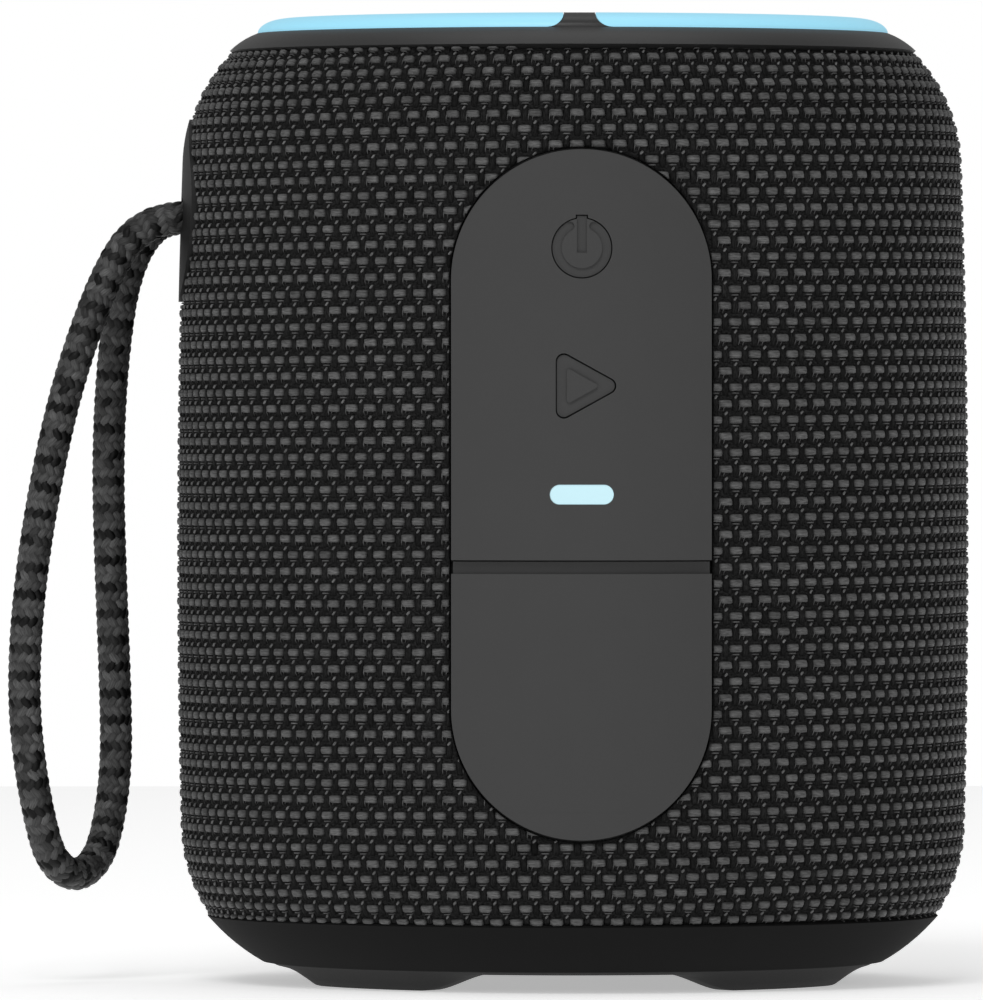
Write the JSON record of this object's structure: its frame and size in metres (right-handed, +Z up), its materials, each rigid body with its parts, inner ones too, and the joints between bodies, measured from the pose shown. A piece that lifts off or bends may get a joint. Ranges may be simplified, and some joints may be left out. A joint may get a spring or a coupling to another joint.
{
  "type": "shower speaker",
  "caption": "Compact barrel-shaped wireless shower speaker with woven grille, lit top ring, rubber control panel, hinged port cover and braided lanyard loop.",
  "frame": {"origin": "centre of the base on the surface it stands on, on the barrel's axis", "axes": "+Z up along the barrel, -Y out of the control panel, -X out of the lanyard's disc"},
  "size_m": [0.1042, 0.0865, 0.1045],
  "materials": {
    "speaker_fabric": "woven polyester, pale grey floats over a dark ground",
    "dark_abs": "moulded, fine texture",
    "trim_plastic": "satin soft-touch grey",
    "light_guide": "frosted translucent, lit pale blue from inside",
    "panel_silicone": "matt silicone, dark grey",
    "circuit_board": "green solder mask",
    "led_body": "white package",
    "switch_metal": "pressed cap",
    "connector_steel": "plated, bright",
    "socket_plastic": "moulded black",
    "base_plastic": "satin dark grey",
    "foot_rubber": "matt moulded rubber",
    "painted_steel": "black powder coat",
    "seal_rubber": "moulded black rubber",
    "screw_steel": "black zinc",
    "motor_steel": "zinc plated",
    "ferrite": "sintered ferrite",
    "coil_copper": "enamelled copper winding",
    "cone_paper": "coated paper pulp",
    "spider_cloth": "resin-stiffened cloth",
    "cell_wrap": "shrink sleeve",
    "chip_epoxy": "moulded epoxy",
    "capacitor_aluminium": "drawn can",
    "header_nylon": "natural nylon",
    "wire_sleeve": "PVC sleeve",
    "strap_plastic": "satin dark grey",
    "crimp_aluminium": "pressed",
    "braided_cord": "braided polyester, black with grey strands"
  },
  "bodies": {
    "housing": {"grille_fabric": "speaker_fabric", "grille_shell": "dark_abs", "top_trim_ring": "trim_plastic", "light_ring_left": "light_guide", "light_ring_right": "light_guide", "top_cap": "panel_silicone", "top_board": "circuit_board", "ring_lights": "led_body", "top_switches": "switch_metal", "upper_frame": "dark_abs", "diffuser_cone": "dark_abs", "control_panel": "panel_silicone", "status_lens": "light_guide", "panel_carrier": "dark_abs", "button_board": "circuit_board", "front_switches": "switch_metal", "status_light": "led_body", "port_cover_anchor": "panel_silicone", "port_well": "dark_abs", "port_board": "circuit_board", "usb_c_port": "connector_steel", "aux_jack": "socket_plastic", "base_ring": "base_plastic", "foot_ring": "foot_rubber", "bottom_grille": "painted_steel", "tub": "dark_abs", "baffle_gasket": "seal_rubber", "driver_baffle": "dark_abs", "case_screws": "screw_steel", "radiator_frame": "dark_abs", "radiator_surround": "seal_rubber", "driver_frame": "painted_steel", "driver_top_plate": "motor_steel", "driver_magnet": "ferrite", "driver_yoke": "motor_steel", "driver_surround": "seal_rubber", "driver_spider": "spider_cloth", "battery_cells": "cell_wrap", "battery_tray": "dark_abs", "main_board": "circuit_board", "board_chips": "chip_epoxy", "radio_module": "connector_steel", "board_inductors": "ferrite", "board_capacitors": "capacitor_aluminium", "board_connectors": "header_nylon", "driver_leads": "wire_sleeve", "strap_plate": "strap_plastic", "strap_nut": "dark_abs", "cord_crimp": "crimp_aluminium", "lanyard_cord": "braided_cord"},
    "power_button": {"power_key": "panel_silicone"},
    "play_button": {"play_key": "panel_silicone"},
    "volume_up_button": {"volume_up_key": "panel_silicone"},
    "volume_down_button": {"volume_down_key": "panel_silicone"},
    "port_flap": {"port_cover": "panel_silicone"},
    "speaker_diaphragm": {"voice_coil": "coil_copper", "driver_cone": "cone_paper", "dust_cap": "cone_paper"},
    "radiator": {"radiator_plate": "dark_abs", "radiator_weight": "screw_steel"}
  },
  "joints": [
    {"name": "power_press", "type": "slide", "parent": "housing", "child": "power_button", "axis": [0, 1, 0], "range_m": [0, 0.0003], "stiffness_N_per_m": 800, "springref_m": -0.0003},
    {"name": "play_press", "type": "slide", "parent": "housing", "child": "play_button", "axis": [0, 1, 0], "range_m": [0, 0.0003], "stiffness_N_per_m": 800, "springref_m": -0.0003},
    {"name": "volume_up_press", "type": "slide", "parent": "housing", "child": "volume_up_button", "axis": [0, 0, -1], "range_m": [0, 0.0003], "stiffness_N_per_m": 800, "springref_m": -0.0003},
    {"name": "volume_down_press", "type": "slide", "parent": "housing", "child": "volume_down_button", "axis": [0, 0, -1], "range_m": [0, 0.0003], "stiffness_N_per_m": 800, "springref_m": -0.0003},
    {"name": "port_flap_hinge", "type": "hinge", "parent": "housing", "child": "port_flap", "pos_m": [0, -0.04319, 0.0196], "axis": [1, 0, 0], "range_deg": [0, 110]},
    {"name": "diaphragm_travel", "type": "slide", "parent": "housing", "child": "speaker_diaphragm", "axis": [0, 0, 1], "range_m": [-0.0012, 0.0012], "stiffness_N_per_m": 1500, "deforming": ["driver_surround", "driver_spider"]},
    {"name": "radiator_travel", "type": "slide", "parent": "housing", "child": "radiator", "axis": [0, 0, 1], "range_m": [-0.0015, 0.0015], "stiffness_N_per_m": 1500, "deforming": ["radiator_surround"]}
  ]
}
